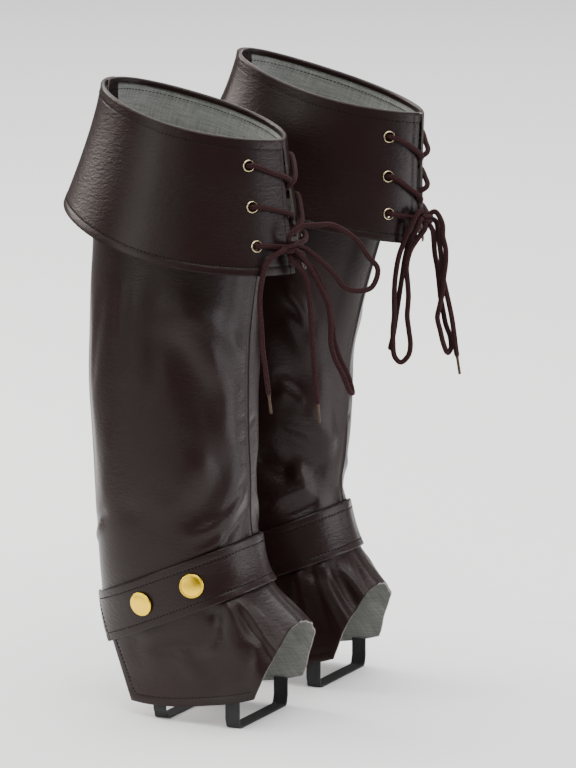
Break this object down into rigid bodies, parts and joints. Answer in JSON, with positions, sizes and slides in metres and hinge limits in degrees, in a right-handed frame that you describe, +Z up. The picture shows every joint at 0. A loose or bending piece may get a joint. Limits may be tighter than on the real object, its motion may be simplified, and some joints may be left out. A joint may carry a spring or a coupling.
{
  "type": "pair of boot covers",
  "caption": "Pair of over-boot gaiters of coated fabric: open shafts with turned-down laced cuffs, ankle straps closed by snaps, and foot flaps with elastics under the sole.",
  "frame": {"origin": "on the floor midway between the two covers, where the wearer's soles hold the elastics", "axes": "+Z up, toes to -Y, the right cover at -X and the left cover at +X"},
  "size_m": [0.3021, 0.267, 0.5062],
  "materials": {
    "hide": "dark brown coated fabric, soft semi-gloss, fine grain",
    "lace": "dark maroon braided cord, matte",
    "gold": "polished",
    "brass": "pale, satin",
    "lace_tip": "dull, dark",
    "elastic": "ribbed black webbing"
  },
  "bodies": {
    "root": {"left_ankle_strap": "hide", "left_cuff_inner": "hide", "left_cuff_outer": "hide", "left_elastic_front": "elastic", "left_elastic_heel": "elastic", "left_eyelet_inner_1": "brass", "left_eyelet_inner_2": "brass", "left_eyelet_inner_3": "brass", "left_eyelet_outer_1": "brass", "left_eyelet_outer_2": "brass", "left_eyelet_outer_3": "brass", "left_lace_crossed": "lace", "left_lace_knot": "lace", "left_lace_loop_long": "lace", "left_lace_loop_side": "lace", "left_lace_tail_front": "lace", "left_lace_tail_side": "lace", "left_lace_tip_front": "lace_tip", "left_shaft_inner": "hide", "left_shaft_outer": "hide", "left_snap_1": "gold", "left_snap_2": "gold", "right_ankle_strap": "hide", "right_cuff_inner": "hide", "right_cuff_outer": "hide", "right_elastic_front": "elastic", "right_elastic_heel": "elastic", "right_eyelet_inner_1": "brass", "right_eyelet_inner_2": "brass", "right_eyelet_inner_3": "brass", "right_eyelet_outer_1": "brass", "right_eyelet_outer_2": "brass", "right_eyelet_outer_3": "brass", "right_lace_crossed": "lace", "right_lace_knot": "lace", "right_lace_loop_long": "lace", "right_lace_loop_side": "lace", "right_lace_tail_front": "lace", "right_lace_tail_side": "lace", "right_lace_tip_front": "lace_tip", "right_lace_tip_side": "lace_tip", "right_shaft_inner": "hide", "right_shaft_outer": "hide", "right_snap_1": "gold", "right_snap_2": "gold"}
  },
  "joints": []
}
